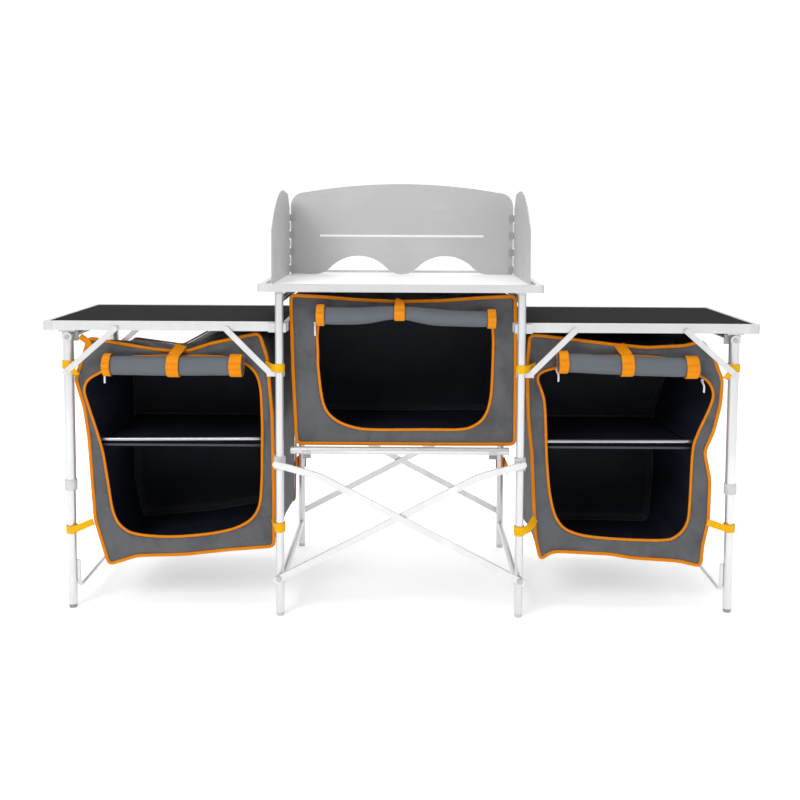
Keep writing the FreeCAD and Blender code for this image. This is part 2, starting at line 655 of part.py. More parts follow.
def outer_legs(word, side):
    """Telescopic legs that fold under the board, with their brackets and cross bar."""
    x = "%d * outer_leg_x" % side
    uppers, collars, lowers, feet, brackets = [], [], [], [], []
    for row, y in LEG_ROWS:
        name = "%s_outer_%s" % (word, row)
        barrel = tube(name + "_upper", "upper_dia", "hinge_z - upper_end_z", x, y, "upper_end_z")
        knuckle = cylinder(name + "_knuckle", "upper_dia - yoke_play", "upper_dia - 2 * yoke_play",
                           x, y + " - upper_dia / 2 + yoke_play", "hinge_z", "Y")
        barrel_bore = cylinder(name + "_rod_bore", "rod_dia + rod_fit", "2 * upper_dia", x,
                               y + " - upper_dia", "hinge_z", "Y")
        uppers.append(cut(name + "_upper_leg", fuse(name + "_barrel", [barrel, knuckle]),
                          barrel_bore))
        ring = cylinder(name + "_collar_skin", "collar_dia", "collar_height", x, y, "collar_low_z")
        seat = cylinder(name + "_collar_seat", "upper_dia + seat_play", "collar_height", x, y,
                        "upper_end_z")
        throat = cylinder(name + "_collar_throat", "lower_dia + 2 * pin_play", "collar_height", x, y,
                          "collar_low_z - 1")
        collars.append(cut(name + "_collar", ring, fuse(name + "_collar_room", [seat, throat])))
        lowers.append(tube(name + "_lower", "lower_dia", "lower_top_z - foot_tip", x, y,
                           "foot_tip"))
        feet.append(foot(name, "lower_dia", x, y))
        near, far = "outer_leg_x - bracket_length / 2", "outer_leg_x + bracket_length / 2"
        low_z, high_z = "bracket_base_z", "table_top_z - rail_height - seat_play"
        yoke_start = y + " - upper_dia / 2" + ("" if row == "front" else " - yoke_reach")
        yoke = mirrored_block(name + "_yoke", side, near, far, "upper_dia + yoke_reach",
                              "(%s) - (%s)" % (high_z, low_z), yoke_start, low_z)
        slot = mirrored_block(name + "_slot", side, near + " - yoke_play", far + " + yoke_play",
                              "upper_dia + 2 * yoke_play",
                              "hinge_z + upper_dia / 2 + 2 * yoke_play - bracket_base_z",
                              y + " - upper_dia / 2 - yoke_play", low_z + " - yoke_play")
        axle = cylinder(name + "_yoke_bore", "rod_dia + 2 * rod_play", "3 * upper_dia", x,
                        y + " - 3 / 2 * upper_dia", "hinge_z", "Y")
        brackets.append(cut(name + "_bracket", yoke, fuse(name + "_room", [slot, axle])))
    rod = cylinder(word + "_hinge_rod", "rod_dia", "outer_rear_y - outer_front_y + 2 * rod_end", x,
                   "outer_front_y - rod_end", "hinge_z", "Y")
    group(word + "_outer_upper_legs", uppers)
    keep(rod, word + "_leg_hinge_rod")
    group(word + "_outer_collars", collars)
    group(word + "_outer_lower_legs", lowers)
    group(word + "_outer_feet", feet)
    group(word + "_leg_brackets", brackets)
    cross_bar(word, side)


def cross_bar(word, side):
    """A bent tube along the floor between the two lower legs, riveted to them."""
    x = side * (value("outer_leg_x") - value("cross_bar_offset"))
    front, rear = value("outer_front_y"), value("outer_rear_y")
    top, low = value("cross_bar_top_z"), value("cross_bar_low_z")
    bend, radius = value("cross_bar_bend"), value("cross_bar_dia") / 2
    diagonal = bend * (1 - math.sqrt(0.5))
    spots = [Vector(x, front, top), Vector(x, front, low + bend),
             Vector(x, front + diagonal, low + diagonal), Vector(x, front + bend, low),
             Vector(x, rear - bend, low), Vector(x, rear - diagonal, low + diagonal),
             Vector(x, rear, low + bend), Vector(x, rear, top)]
    path = Part.Wire([Part.LineSegment(spots[0], spots[1]).toShape(),
                      Part.Arc(spots[1], spots[2], spots[3]).toShape(),
                      Part.LineSegment(spots[3], spots[4]).toShape(),
                      Part.Arc(spots[4], spots[5], spots[6]).toShape(),
                      Part.LineSegment(spots[6], spots[7]).toShape()])
    section = Part.Wire(Part.makeCircle(radius, spots[0], Vector(0, 0, 1)))
    bar = path.makePipeShell([section], True, False)
    reach = value("cross_bar_offset") - value("lower_dia") / 2
    for y in (front, rear):
        for z in (top - value("rivet_inset"), low + bend + value("rivet_inset")):
            rivet = Part.makeCylinder(value("rivet_pin_dia") / 2, reach, Vector(x, y, z),
                                      Vector(side, 0, 0))
            bar = bar.fuse(rivet)
    solid_node(word + "_cross_bar", bar)


# ------------------------------------------------------------------- cupboards

def bag(label, outline, opening, radii, front, rear):
    """A hollow cloth box: an outline in x, z with a wall all round and an open front."""
    wall = value("cloth")
    outer = face_xz(polyline(outline), front)
    sharp_corners = 2
    hollow_wire = outer.OuterWire.makeOffset2D(-wall, sharp_corners)
    hollow = Part.Face(hollow_wire).extrude(Vector(0, rear - front - 2 * wall, 0))
    hollow.translate(Vector(0, wall, 0))
    mouth = face_xz(rounded(opening, radii), front - 1).extrude(Vector(0, wall + 2, 0))
    shell = outer.extrude(Vector(0, rear - front, 0)).cut(hollow).cut(mouth)
    return solid_node(label, shell)


def roll_solid(label, near, far, y, z, diameter, side=1):
    """The door, rolled up: a round bolster along X."""
    start = near if side > 0 else "-(%s)" % far
    return keep(cylinder(label, diameter, "(%s) - (%s)" % (far, near), start, y, z, "X"), label)


def strap_ring(name, x, y, z, diameter, height, axis="Z"):
    """A webbing loop round something of a given diameter."""
    gap = "(%s) + 2 * strap_play" % diameter
    outer = cylinder(name + "_skin", gap + " + 2 * strap_depth", height, x, y, z, axis)
    bore = cylinder(name + "_bore", gap, height, x, y, z, axis)
    return cut(name, outer, bore)


# Outward x and z of the hanging cloth: its skin, its mouth and the mouth's corner radii.
SIDE_SKIN = ((322, 684), (322, 154), (420, 144), (535, 132), (650, 126), (722, 106), (757, 219),
             (768, 430), (786, 571), (768, 668), (680, 656), (572, 640), (518, 640), (462, 658))
SIDE_MOUTH = ((346, 178), (712, 178), (738, 410), (764, 598), (346, 598))
SIDE_MOUTH_RADII = (48, 42, 0, 26, 26)
# The same for the middle one, as x and z.
MIDDLE_SKIN = ((-270, 414), (270, 414), (270, 780), (135, 767), (0, 763), (-135, 767), (-270, 780))
MIDDLE_MOUTH = ((-213, 704), (-205, 540), (-186, 452), (186, 452), (205, 540), (213, 704))
MIDDLE_MOUTH_RADII = (6, 0, 58, 58, 0, 6)


def roll_middle(front, roll):
    """Y of a door roll's axis: its straps clear the cloth behind it."""
    return "%s - %s / 2 - strap_play - strap_depth - roll_gap" % (front, roll)


def side_cupboard(word, side):
    """Hanging cupboard of a side table: shell, shelf, door roll and straps."""
    outline = [(side * x, z) for x, z in SIDE_SKIN]
    opening = [(side * x, z) for x, z in SIDE_MOUTH]
    bag(word + "_cupboard", outline, opening, SIDE_MOUTH_RADII, value("side_bag_front_y"),
        value("side_bag_rear_y"))
    front = "side_bag_front_y + cloth + shelf_gap"
    rear = "side_bag_rear_y - cloth - shelf_gap"
    cloth = mirrored_block(word + "_shelf_cloth", side, "shelf_in", "shelf_out",
                           "(%s) - (%s)" % (rear, front), "shelf_depth", front, "side_shelf_z")
    start = "shelf_in" if side > 0 else "-shelf_out"
    rods = [cylinder("%s_shelf_rod_%s" % (word, row), "shelf_rod_dia", "shelf_out - shelf_in",
                     start, y, "side_shelf_z + shelf_depth + roll_gap + shelf_rod_dia / 2", "X")
            for row, y in (("front", front + " + shelf_rod_dia / 2"),
                           ("rear", rear + " - shelf_rod_dia / 2"))]
    group(word + "_cupboard_shelf", [cloth] + rods)
    roll_y = roll_middle("side_bag_front_y", "side_roll_dia")
    roll_solid(word + "_door_roll", "side_roll_in", "side_roll_out", roll_y, "side_roll_z",
               "side_roll_dia", side)
    rings = []
    for index, place_x in enumerate(("side_roll_in + strap_inset",
                                     "(side_roll_in + side_roll_out - strap_width) / 2",
                                     "side_roll_out - strap_inset - strap_width")):
        start = place_x if side > 0 else "-(%s + strap_width)" % place_x
        rings.append(strap_ring("%s_roll_strap_%d" % (word, index), start, roll_y, "side_roll_z",
                                "side_roll_dia", "strap_width", "X"))
    loops = []
    for row, x, y, diameter in (("outer", "outer_leg_x", "outer_front_y", "upper_dia"),
                                ("stand", "leg_x", "-leg_y", "leg_dia")):
        across = "%d * %s" % (side, x)
        loops.append(strap_ring("%s_high_loop_%s" % (word, row), across, y, "high_strap_z",
                                diameter, "high_strap_height"))
        low_diameter = "lower_dia" if row == "outer" else diameter
        loops.append(strap_ring("%s_low_loop_%s" % (word, row), across, y, "low_strap_z",
                                low_diameter, "low_strap_height"))
    group(word + "_cupboard_straps", rings + loops)


def middle_cupboard():
    """Cupboard under the cooking top, with the two bars that carry its floor."""
    bag("middle_cupboard", MIDDLE_SKIN, MIDDLE_MOUTH, MIDDLE_MOUTH_RADII, -value("mid_bag_y"),
        value("mid_bag_y"))
    roll_y = roll_middle("-mid_bag_y", "mid_roll_dia")
    keep(cylinder("middle_door_roll", "mid_roll_dia", "2 * mid_roll_x", "-mid_roll_x", roll_y,
                  "mid_roll_z", "X"), "middle_door_roll")
    rings = [strap_ring("middle_roll_strap_%d" % index, x, roll_y, "mid_roll_z", "mid_roll_dia",
                        "strap_width", "X")
             for index, x in enumerate(("strap_inset - mid_roll_x", "-strap_width / 2",
                                        "mid_roll_x - strap_inset - strap_width"))]
    group("middle_roll_straps", rings)
    bars = [tube("support_bar_%s" % row, "bar_dia", "2 * bar_half_length", "-bar_half_length",
                 "%d * bar_y" % front, "bar_z", "X") for row, front in (("front", -1), ("rear", 1))]
    group("support_bars", bars)


cooking_top()
wind_shield()
for side_word, side_factor in SIDES:
    stand_legs(side_word, side_factor)
    side_table(side_word, side_factor)
    struts(side_word, side_factor)
    outer_legs(side_word, side_factor)
    side_cupboard(side_word, side_factor)
# The brace that starts low on the left leg lies behind the other one.
for side_word, side_factor, brace_layer in (("left", -1, "near"), ("right", 1, "far")):
    braces(side_word, side_factor, brace_layer)
    brace_pivots(side_word, side_factor, brace_layer)
brace_sliders("left", -1, "far")
brace_sliders("right", 1, "near")
middle_cupboard()

doc.recompute()

for item in doc.Objects:
    if "Invalid" in item.State or "Error" in item.State:
        raise RuntimeError("%s failed: %s" % (item.Label, item.State))
os.makedirs("parts", exist_ok=True)
for node in NODES:
    shape = node.Shape
    if shape.isNull() or not shape.isValid():
        raise RuntimeError("%s has no valid shape" % node.Label)
    shape.exportStep("parts/%s.step" % node.Label)
    print("%-28s solids %2d volume %10.0f" % (node.Label, len(shape.Solids), shape.Volume))
print("nodes", len(NODES))
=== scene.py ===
"""Looks of the camp kitchen: cloth cupboards, rolled doors, webbing, materials, light and camera."""
import json
import math

import bpy
import numpy as np
from mathutils import Matrix, Vector, noise


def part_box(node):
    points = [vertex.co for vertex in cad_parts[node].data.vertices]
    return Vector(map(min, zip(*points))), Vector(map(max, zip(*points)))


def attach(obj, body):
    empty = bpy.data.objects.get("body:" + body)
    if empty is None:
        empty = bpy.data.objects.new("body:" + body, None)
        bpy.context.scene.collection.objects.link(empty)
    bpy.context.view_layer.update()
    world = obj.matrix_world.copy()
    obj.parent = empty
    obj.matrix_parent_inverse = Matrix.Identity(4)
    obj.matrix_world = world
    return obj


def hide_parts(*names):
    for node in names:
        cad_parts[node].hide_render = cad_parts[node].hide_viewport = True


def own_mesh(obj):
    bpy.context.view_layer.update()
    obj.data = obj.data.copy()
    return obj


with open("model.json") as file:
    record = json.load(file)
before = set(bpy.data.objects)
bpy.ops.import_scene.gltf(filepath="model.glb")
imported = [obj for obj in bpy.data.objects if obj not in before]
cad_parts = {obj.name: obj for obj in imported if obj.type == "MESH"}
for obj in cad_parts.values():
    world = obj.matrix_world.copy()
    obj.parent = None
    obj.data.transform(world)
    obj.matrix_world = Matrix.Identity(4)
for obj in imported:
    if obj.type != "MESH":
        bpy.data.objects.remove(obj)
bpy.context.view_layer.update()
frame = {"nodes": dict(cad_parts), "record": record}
record = frame["record"]
MM = 0.001
# where the painted highlight along the wind shield's bead lies
BEAD_Z, BEAD_FACE_Y, BEAD_HALF = 0.912, 0.1775, 0.23
FRONT_ROWS, WALL_ROWS, BACK_ROWS = 8, 26, 12
HELD_REACH = 42.0                          # mm above and below a shelf where it holds the walls out
CLOTH_THICK, DOOR_THICK, SHELF_THICK = 0.0012, 0.0009, 0.0014
STRAP_THICK, STRAP_GAP, LOOP_GAP = 0.0018, 0.0012, 0.0016
ROOF_SHADE_EDGE = 0.03                           # the roof's painted shade, the dark lining cloth on its outer face, starts this far in from a side wall
DOOR_CORE = 0.0075                         # radius at the heart of a rolled door
STITCH_INSET = -0.0065


# ------------------------------------------------------------------- materials

class Nodes:
    """A material's node tree with short calls."""

    def __init__(self, name, colour, roughness, metallic=0.0, **settings):
        self.material = bpy.data.materials.new(name)
        self.material.use_nodes = True
        self.tree = self.material.node_tree
        self.shader = self.tree.nodes["Principled BSDF"]
        self.shader.inputs["Base Color"].default_value = (*colour, 1)
        self.shader.inputs["Roughness"].default_value = roughness
        self.shader.inputs["Metallic"].default_value = metallic
        for socket, value in settings.items():
            self.shader.inputs[socket.replace("_", " ")].default_value = value

    def add(self, kind, links=(), **values):
        """A node; links are (input name or index, output socket)."""
        node = self.tree.nodes.new("ShaderNode" + kind)
        for name, value in values.items():
            if hasattr(node, name):
                setattr(node, name, value)
            else:
                node.inputs[name.replace("_", " ")].default_value = value
        for target, source in links:
            self.tree.links.new(source, node.inputs[target])
        return node

    def coordinates(self, kind, scale=(1, 1, 1)):
        source = self.add("TexCoord").outputs[kind]
        return self.add("Mapping", [("Vector", source)], Scale=scale).outputs["Vector"]

    def noise(self, vector, scale, detail=3.0, rough=0.55):
        return self.add("TexNoise", [("Vector", vector)], Scale=scale, Detail=detail,
                        Roughness=rough).outputs["Fac"]

    def wave(self, vector, scale, direction, distortion=0.0):
        return self.add("TexWave", [("Vector", vector)], Scale=scale, bands_direction=direction,
                        Distortion=distortion).outputs["Fac"]

    def mix(self, factor, first, second):
        """Two colours mixed by a factor."""
        ramp = self.add("ValToRGB", [("Fac", factor)])
        ramp.color_ramp.elements[0].color = (*first, 1)
        ramp.color_ramp.elements[0].position = 0.3
        ramp.color_ramp.elements[1].color = (*second, 1)
        ramp.color_ramp.elements[1].position = 0.7
        return ramp.outputs["Color"]

    def paint(self, socket, source):
        self.tree.links.new(source, self.shader.inputs[socket])

    def span(self, source, low, high):
        """A factor from 0 to 1 remapped to low to high."""
        return self.add("MapRange", [("Value", source)], To_Min=low, To_Max=high).outputs["Result"]

    def sum(self, first, second, share=0.5):
        node = self.add("Math", [(0, first)], operation="MULTIPLY")
        node.inputs[1].default_value = share
        return self.add("Math", [(0, node.outputs[0]), (1, second)], operation="ADD").outputs[0]

    def bump(self, height, strength, distance):
        node = self.add("Bump", [("Height", height)], Strength=strength, Distance=distance)
        self.paint("Normal", node.outputs["Normal"])


def metal(name, first, second, roughness, grain, metallic, bump=0.15, bead_highlight=False):
    """Tube or sheet with a drawn grain and a slow tone change. When asked, the wind shield's pressed
    bead gets a painted highlight: a lighter band, brighter than the sheet around it, painted along it
    in place of light catching its upper face."""
    m = Nodes(name, first, roughness, metallic)
    place = m.coordinates("Object", grain)
    grain_fac = m.noise(place, 60, 4)
    slow = m.noise(m.coordinates("Object"), 7, 2)
    colour = m.mix(m.sum(grain_fac, slow, 0.4), first, second)
    # painted highlight: a lighter band painted along the wind shield's bead, where light would catch it
    if bead_highlight:
        spot = m.add("SeparateXYZ", [("Vector", m.coordinates("Object"))])
        high = m.add("Math", [(0, spot.outputs["Z"])], operation="COMPARE")
        high.inputs[1].default_value, high.inputs[2].default_value = BEAD_Z, 0.0034
        proud = m.add("Math", [(0, spot.outputs["Y"])], operation="COMPARE")
        proud.inputs[1].default_value, proud.inputs[2].default_value = BEAD_FACE_Y, 0.0024
        within = m.add("Math", [(0, spot.outputs["X"])], operation="COMPARE")
        within.inputs[1].default_value, within.inputs[2].default_value = 0.0, BEAD_HALF
        both = m.add("Math", [(0, high.outputs[0]), (1, proud.outputs[0])], operation="MULTIPLY")
        both = m.add("Math", [(0, both.outputs[0]), (1, within.outputs[0])], operation="MULTIPLY")
        painted_highlight_mix = m.add("Mix", data_type="RGBA")
        m.tree.links.new(both.outputs[0], painted_highlight_mix.inputs[0])
        m.tree.links.new(colour, painted_highlight_mix.inputs[6])
        painted_highlight_mix.inputs[7].default_value = (0.9, 0.9, 0.91, 1)
        colour = painted_highlight_mix.outputs[2]
    m.paint("Base Color", colour)
    m.paint("Roughness", m.span(grain_fac, roughness - 0.08, roughness + 0.1))
    m.bump(grain_fac, bump, 0.0004)
    return m.material


def weave(name, first, second, pitch, roughness, bump=0.5, sheen=0.0):
    """Woven cloth: warp and weft ridges on the surface's own metres, with slow fading."""
    m = Nodes(name, first, roughness, Sheen_Weight=sheen, Sheen_Roughness=0.5)
    place = m.coordinates("UV")
    warp, weft = m.wave(place, 0.32 / pitch, "X", 0.6), m.wave(place, 0.32 / pitch, "Y", 0.6)
    threads = m.sum(warp, m.sum(weft, m.noise(place, 900, 2), 0.8), 0.8)
    worn = m.noise(m.coordinates("Object"), 14, 5, 0.6)
    m.paint("Base Color", m.mix(m.sum(m.noise(place, 320, 3), worn, 0.35), first, second))
    m.paint("Roughness", m.span(worn, roughness - 0.08, roughness + 0.08))
    m.bump(threads, bump, 0.0005)
    return m.material


def webbing(name, first, second, pitch=0.0016):
    """Narrow webbing: ribs across the band, fine fibres and a slow tone change."""
    m = Nodes(name, first, 0.7, Specular_IOR_Level=0.2)
    place = m.coordinates("UV")
    ribs = m.wave(place, 0.32 / pitch, "X", 1.2)
    fibres = m.noise(place, 700, 3)
    m.paint("Base Color", m.mix(m.sum(fibres, m.noise(m.coordinates("Object"), 25, 3), 0.5),
                                first, second))
    m.bump(m.sum(ribs, fibres, 0.8), 0.6, 0.0006)
    return m.material


def moulded(name, first, second, roughness, size=420):
    """Moulded plastic with a fine pebble grain."""
    m = Nodes(name, first, roughness)
    place = m.coordinates("Object")
    grain = m.noise(place, size, 3)
    m.paint("Base Color", m.mix(m.noise(place, 30, 3), first, second))
    m.paint("Roughness", m.span(grain, roughness - 0.06, roughness + 0.08))
    m.bump(grain, 0.25, 0.0004)
    return m.material


def laminate(name, first, second):
    """Charcoal board laminate: fine mottling and faint scuffs."""
    m = Nodes(name, first, 0.7, Specular_IOR_Level=0.03)
    place = m.coordinates("Object")
    fleck = m.noise(place, 520, 3)
    scuff = m.noise(m.coordinates("Object", (3, 40, 3)), 5, 6, 0.7)
    m.paint("Base Color", m.mix(m.sum(fleck, scuff, 0.5), first, second))
    m.paint("Roughness", m.span(scuff, 0.62, 0.8))
    m.bump(fleck, 0.3, 0.0003)
    return m.material


ORANGE, ORANGE_DARK = (0.92, 0.34, 0.003), (0.78, 0.235, 0.001)
MATS = {
    "anodised_tube": metal("anodised_tube", (0.86, 0.865, 0.875), (0.74, 0.745, 0.755), 0.34,
                           (1, 1, 0.04), 0.7),
    # the wind shield sheet carries a painted highlight along its bead
    "shield_sheet": metal("shield_sheet", (0.6, 0.6, 0.605), (0.53, 0.53, 0.535), 0.5, (0.05, 1, 1),
                          0.25, bead_highlight=True),
    "top_sheet": metal("top_sheet", (0.985, 0.985, 0.99), (0.94, 0.94, 0.945), 0.45, (0.05, 1, 1), 0.1),
    "board_laminate": laminate("board_laminate", (0.0072, 0.0064, 0.0061), (0.012, 0.0108, 0.0104)),
    "grey_plastic": moulded("grey_plastic", (0.66, 0.665, 0.67), (0.58, 0.585, 0.59), 0.5),
    "dark_plastic": moulded("dark_plastic", (0.34, 0.345, 0.35), (0.27, 0.275, 0.28), 0.55),
    "steel": metal("steel", (0.62, 0.62, 0.63), (0.5, 0.5, 0.51), 0.35, (0.05, 1, 1), 0.85),
    "cupboard_cloth": weave("cupboard_cloth", (0.04, 0.043, 0.048), (0.11, 0.114, 0.124), 0.0014, 0.72,
                            sheen=0.06),
    "door_cloth": weave("door_cloth", (0.088, 0.101, 0.117), (0.118, 0.134, 0.152), 0.0012, 0.6,
                        sheen=0.06),
    "webbing": webbing("webbing", (0.93, 0.36, 0.003), (0.85, 0.28, 0.002)),
}
TAPE = weave("seam_tape", (0.032, 0.036, 0.046), (0.052, 0.057, 0.068), 0.0012, 0.6, 0.35)
# the dark lining, also used as painted shade on the outer face of the cupboard roofs
LINING_AND_ROOF_SHADE = weave("lining_and_roof_shade_cloth", (0.0052, 0.0076, 0.0168), (0.014, 0.0186, 0.037), 0.0012, 0.55, 0.35)
PIPING = webbing("piping", ORANGE, ORANGE_DARK, 0.0012)
BRIGHT = webbing("leg_loop_webbing", (0.97, 0.56, 0.005), (0.93, 0.47, 0.003))
WHITE = moulded("zip_pull_nylon", (0.8, 0.8, 0.8), (0.7, 0.7, 0.7), 0.45)
SLOT_OF = {item["node"]: item["material_slot"] for item in record["subparts"]}
for name, node in frame["nodes"].items():
    for slot in node.material_slots:
        slot.material = MATS[SLOT_OF[name]]


# ------------------------------------------------------------------ mesh making

def dense(points, closed=True, per=24):
    """Catmull-Rom through points, many samples."""
    pts = np.asarray(points, float)
    count = len(pts)
    out = []
    for i in range(count if closed else count - 1):
        p = [pts[(i + k) % count] if closed else pts[min(max(i + k, 0), count - 1)]
             for k in (-1, 0, 1, 2)]
        for t in np.arange(per) / per:
            out.append(0.5 * (2 * p[1] + (p[2] - p[0]) * t + (2 * p[0] - 5 * p[1] + 4 * p[2] - p[3])
                              * t * t + (3 * p[1] - p[0] - 3 * p[2] + p[3]) * t ** 3))
    if not closed:
        out.append(pts[-1])
    return np.array(out)


def straight(points, step=2.0):
    """Straight runs between the points of a closed outline, many samples."""
    pts = np.asarray(points, float)
    out = []
    for a, b in zip(pts, np.roll(pts, -1, 0)):
        parts = max(1, int(np.linalg.norm(b - a) / step))
        out += [a + (b - a) * k / parts for k in range(parts)]
    return np.array(out)


def evenly(points, count, closed=True):
    """The same line with count points, evenly spaced."""
    pts = np.vstack([points, points[:1]]) if closed else np.asarray(points, float)
    run = np.concatenate([[0], np.cumsum(np.linalg.norm(np.diff(pts, axis=0), axis=1))])
    stops = np.linspace(0, run[-1], count + 1)[:-1] if closed else np.linspace(0, run[-1], count)
    return np.stack([np.interp(stops, run, pts[:, k]) for k in range(pts.shape[1])], 1)


def soften(points, times):
    """A closed line with its corners eased."""
    for _ in range(times):
        points = (np.roll(points, 1, 0) + 2 * points + np.roll(points, -1, 0)) / 4
    return points


def at_angles(loop, centre, angles):
    """Where rays from the centre at these angles meet a closed loop round it."""
    away = loop - centre
    turn = np.arctan2(away[:, 1], away[:, 0])
    order = np.argsort(turn)
    turn, far = turn[order], np.hypot(*away.T)[order]
    turn = np.concatenate([turn - 2 * math.pi, turn, turn + 2 * math.pi])
    radius = np.interp(angles, turn, np.concatenate([far] * 3))
    return centre + np.stack([np.cos(angles), np.sin(angles)], 1) * radius[:, None]


def link(name, verts, faces, uvs, materials, material_ids=None):
    """A smooth mesh object; uvs is one (u, v) pair in metres for each face corner."""
    mesh = bpy.data.meshes.new(name)
    mesh.from_pydata([tuple(v) for v in verts], [], faces)
    layer = mesh.uv_layers.new(name="UVMap")
    layer.data.foreach_set("uv", np.asarray(uvs, np.float32).ravel())
    for material in materials:
        mesh.materials.append(material)
    if material_ids is not None:
        mesh.polygons.foreach_set("material_index", material_ids)
    mesh.polygons.foreach_set("use_smooth", [True] * len(faces))
    mesh.update()
    item = bpy.data.objects.new(name, mesh)
    bpy.context.collection.objects.link(item)
    return item


def grid(name, rows, materials, closed=True, pick=None, cap=None):
    """A surface through rows of points. pick(row, column) gives a face's material index;
    cap is the point that closes the last row."""
    rows = np.asarray(rows, float)
    count, across = rows.shape[:2]
    ring = np.concatenate([rows, rows[:, :1]], 1) if closed else rows
    u = np.concatenate([np.zeros((count, 1)),
                        np.cumsum(np.linalg.norm(np.diff(ring, axis=1), axis=2), 1)], 1)
    u = np.broadcast_to(u[count // 2], u.shape)
    v = np.concatenate([np.zeros((1, across)),
                        np.cumsum(np.linalg.norm(np.diff(rows, axis=0), axis=2), 0)])
    v = np.concatenate([v, v[:, :1]], 1) if closed else v
    faces, uvs, ids = [], [], []
    for i in range(count - 1):
        for j in range(across if closed else across - 1):
            k = (j + 1) % across
            faces.append((i * across + j, i * across + k, (i + 1) * across + k, (i + 1) * across + j))
            uvs += [(u[i, j], v[i, j]), (u[i, j + 1], v[i, j + 1]),
                    (u[i + 1, j + 1], v[i + 1, j + 1]), (u[i + 1, j], v[i + 1, j])]
            ids.append(pick(i, j) if pick else 0)
    verts = list(rows.reshape(-1, 3))
    if cap is not None:
        verts.append(cap)
        for j in range(across):
            k, base = (j + 1) % across, (count - 1) * across
            faces.append((base + j, base + k, len(verts) - 1))
            uvs += [(u[-1, j], v[-1, j]), (u[-1, j + 1], v[-1, j + 1]), (u[-1, j], v[-1, j] + 0.01)]
            ids.append(pick(count - 2, j) if pick else 0)
    return link(name, verts, faces, uvs, materials, ids)


def thicken(item, amount, inner=0, offset=-1.0):
    """Cloth thickness, with another material on the inner face."""
    solid = item.modifiers.new("thickness", "SOLIDIFY")
    solid.thickness, solid.offset, solid.material_offset = amount, offset, inner
    solid.use_even_offset = False
    return item


def band(name, path, width, depth, material, facing, closed=False, sides=12, power=0.5):
    """A flat or round section swept along a path. facing is the direction its flat side
    looks: one vector, or one for each point."""
    path = np.asarray(path, float)
    along = (np.roll(path, -1, 0) - np.roll(path, 1, 0)) if closed else np.gradient(path, axis=0)
    along /= np.linalg.norm(along, axis=1, keepdims=True) + 1e-12
    facing = np.broadcast_to(np.asarray(facing, float), path.shape)
    out = facing - along * (facing * along).sum(1, keepdims=True)
    out /= np.linalg.norm(out, axis=1, keepdims=True) + 1e-12
    over = np.cross(along, out)
    turn = np.arange(sides) / sides * 2 * math.pi
    flat = np.sign(np.cos(turn)) * np.abs(np.cos(turn)) ** power * width / 2
    tall = np.sign(np.sin(turn)) * np.abs(np.sin(turn)) ** power * depth / 2
    ring = (path[:, None] + over[:, None] * flat[None, :, None] + out[:, None] * tall[None, :, None])
    run = np.concatenate([[0], np.cumsum(np.linalg.norm(np.diff(
        np.vstack([path, path[:1]]) if closed else path, axis=0), axis=1))])
    girth = np.linspace(0, 2 * (width + depth), sides + 1)
    faces, uvs = [], []
    count = len(path)
    for i in range(count if closed else count - 1):
        n = (i + 1) % count
        for j in range(sides):
            k = (j + 1) % sides
            faces.append((i * sides + j, i * sides + k, n * sides + k, n * sides + j))
            uvs += [(run[i], girth[j]), (run[i], girth[j + 1]), (run[i + 1], girth[j + 1]),
                    (run[i + 1], girth[j])]
    if not closed:
        for row, order in ((0, range(sides - 1, -1, -1)), (count - 1, range(sides))):
            faces.append([row * sides + j for j in order])
            uvs += [(run[row], girth[j]) for j in order]
    return link(name, ring.reshape(-1, 3), faces, uvs, [material])


def join(name, items):
    """One object from several."""
    bpy.ops.object.select_all(action="DESELECT")
    for item in items:
        item.select_set(True)
    bpy.context.view_layer.objects.active = items[0]
    bpy.ops.object.join()
    items[0].name = items[0].data.name = name
    return items[0]


def hold(item, body, keep, slot=None):
    """A soft piece: its modifiers are applied and it rides on a body."""
    if item.modifiers:
        bpy.ops.object.select_all(action="DESELECT")
        item.select_set(True)
        bpy.context.view_layer.objects.active = item
        for modifier in list(item.modifiers):
            bpy.ops.object.modifier_apply(modifier=modifier.name)
    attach(item, body)
    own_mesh(item)
    return item


def ripple(point, size, seed):
    """Smooth noise from -1 to 1."""
    return noise.noise(Vector(point) / size + Vector((seed, seed * 2.7, -seed)))


# -------------------------------------------------------------------- cupboards

